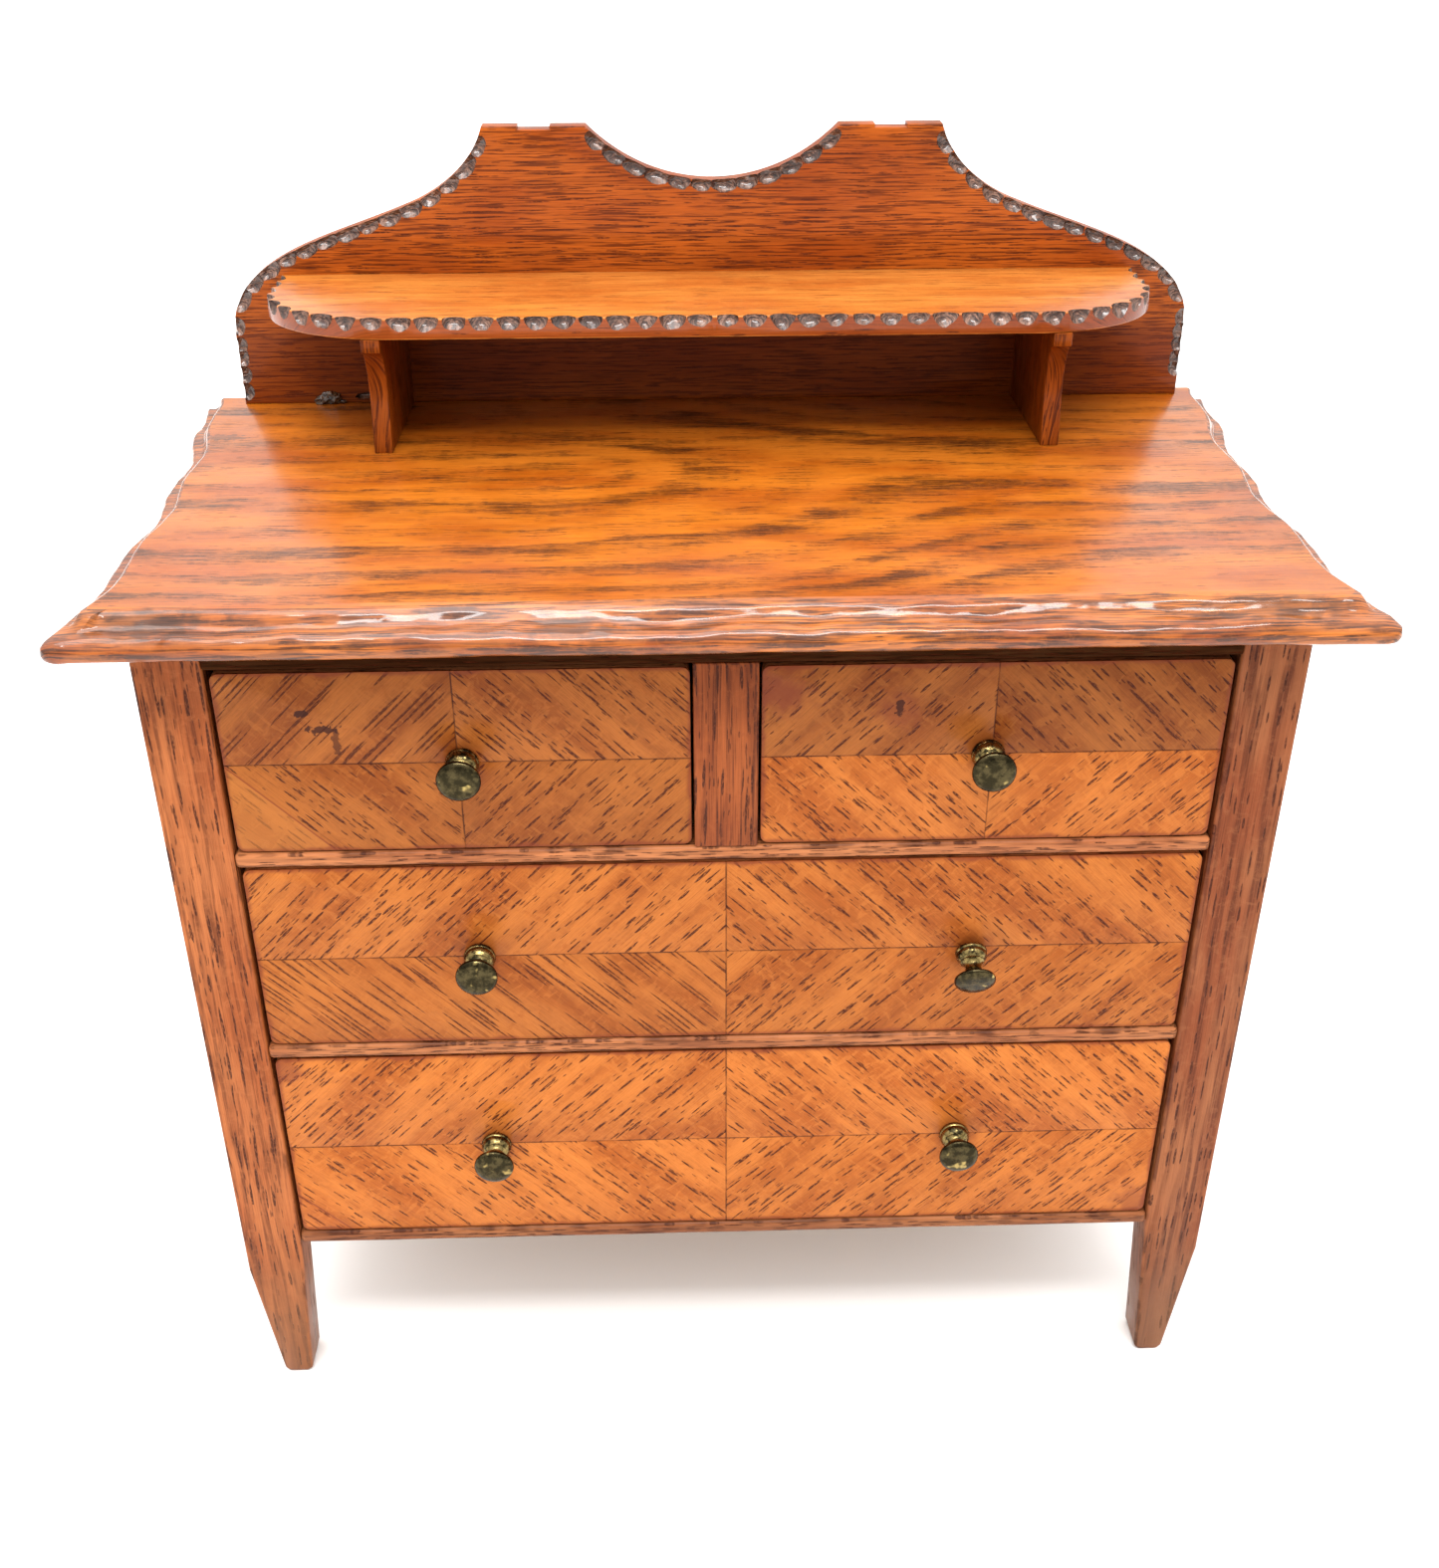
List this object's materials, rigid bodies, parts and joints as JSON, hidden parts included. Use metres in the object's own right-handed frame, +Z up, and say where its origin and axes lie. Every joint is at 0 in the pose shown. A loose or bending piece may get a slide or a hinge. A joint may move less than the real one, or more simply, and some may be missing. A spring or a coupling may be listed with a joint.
{
  "type": "miniature chest of drawers",
  "caption": "Small oak chest with sliding drawers over each other, round brass knobs, a moulded top and a carved gallery with a bracket shelf.",
  "frame": {"origin": "on the floor, under the middle of the whole object's box", "axes": "+Z up, +X to the right seen from the front, +Y from the drawer fronts to the back"},
  "size_m": [0.3358, 0.183, 0.36],
  "materials": {
    "oak_top": "polished oak, warm orange brown, satin gloss",
    "oak_gallery": "polished oak, dark red brown",
    "oak_shelf": "polished oak, orange brown",
    "oak_case": "waxed oak, pinkish brown with open pores",
    "oak_veneer": "quarter-matched oak veneer, thin satin polish",
    "plain_wood": "unpolished softwood, dry",
    "brass": "aged, darkened brass"
  },
  "bodies": {
    "case": {"back_panel": "plain_wood", "centre_divider": "oak_case", "centre_guide": "plain_wood", "centre_runner": "plain_wood", "gallery_backboard": "oak_gallery", "gallery_shelf": "oak_shelf", "guide_bottom_left": "plain_wood", "guide_bottom_right": "plain_wood", "guide_middle_left": "plain_wood", "guide_middle_right": "plain_wood", "guide_upper_left": "plain_wood", "guide_upper_right": "plain_wood", "post_back_left": "oak_case", "post_back_right": "oak_case", "post_front_left": "oak_case", "post_front_right": "oak_case", "rail_bottom": "oak_case", "rail_middle": "oak_case", "rail_upper": "oak_case", "runner_bottom_left": "plain_wood", "runner_bottom_right": "plain_wood", "runner_middle_left": "plain_wood", "runner_middle_right": "plain_wood", "runner_upper_left": "plain_wood", "runner_upper_right": "plain_wood", "shelf_bracket_left": "oak_gallery", "shelf_bracket_right": "oak_gallery", "side_panel_left": "oak_case", "side_panel_right": "oak_case", "top_back_rail": "plain_wood", "top_board": "oak_top", "top_front_rail": "oak_case"},
    "drawer_top_left": {"drawer_top_left_back": "plain_wood", "drawer_top_left_bottom": "plain_wood", "drawer_top_left_front": "oak_veneer", "drawer_top_left_side_left": "plain_wood", "drawer_top_left_side_right": "plain_wood", "knob_top_left": "brass"},
    "drawer_top_right": {"drawer_top_right_back": "plain_wood", "drawer_top_right_bottom": "plain_wood", "drawer_top_right_front": "oak_veneer", "drawer_top_right_side_left": "plain_wood", "drawer_top_right_side_right": "plain_wood", "knob_top_right": "brass"},
    "drawer_middle": {"drawer_middle_back": "plain_wood", "drawer_middle_bottom": "plain_wood", "drawer_middle_front": "oak_veneer", "drawer_middle_side_left": "plain_wood", "drawer_middle_side_right": "plain_wood", "knob_middle_left": "brass", "knob_middle_right": "brass"},
    "drawer_bottom": {"drawer_bottom_back": "plain_wood", "drawer_bottom_bottom": "plain_wood", "drawer_bottom_front": "oak_veneer", "drawer_bottom_side_left": "plain_wood", "drawer_bottom_side_right": "plain_wood", "knob_bottom_left": "brass", "knob_bottom_right": "brass"}
  },
  "joints": [
    {"name": "slide_top_left", "type": "slide", "parent": "case", "child": "drawer_top_left", "axis": [0, -1, 0], "range_m": [0, 0.1]},
    {"name": "slide_top_right", "type": "slide", "parent": "case", "child": "drawer_top_right", "axis": [0, -1, 0], "range_m": [0, 0.1]},
    {"name": "slide_middle", "type": "slide", "parent": "case", "child": "drawer_middle", "axis": [0, -1, 0], "range_m": [0, 0.1]},
    {"name": "slide_bottom", "type": "slide", "parent": "case", "child": "drawer_bottom", "axis": [0, -1, 0], "range_m": [0, 0.1]}
  ]
}
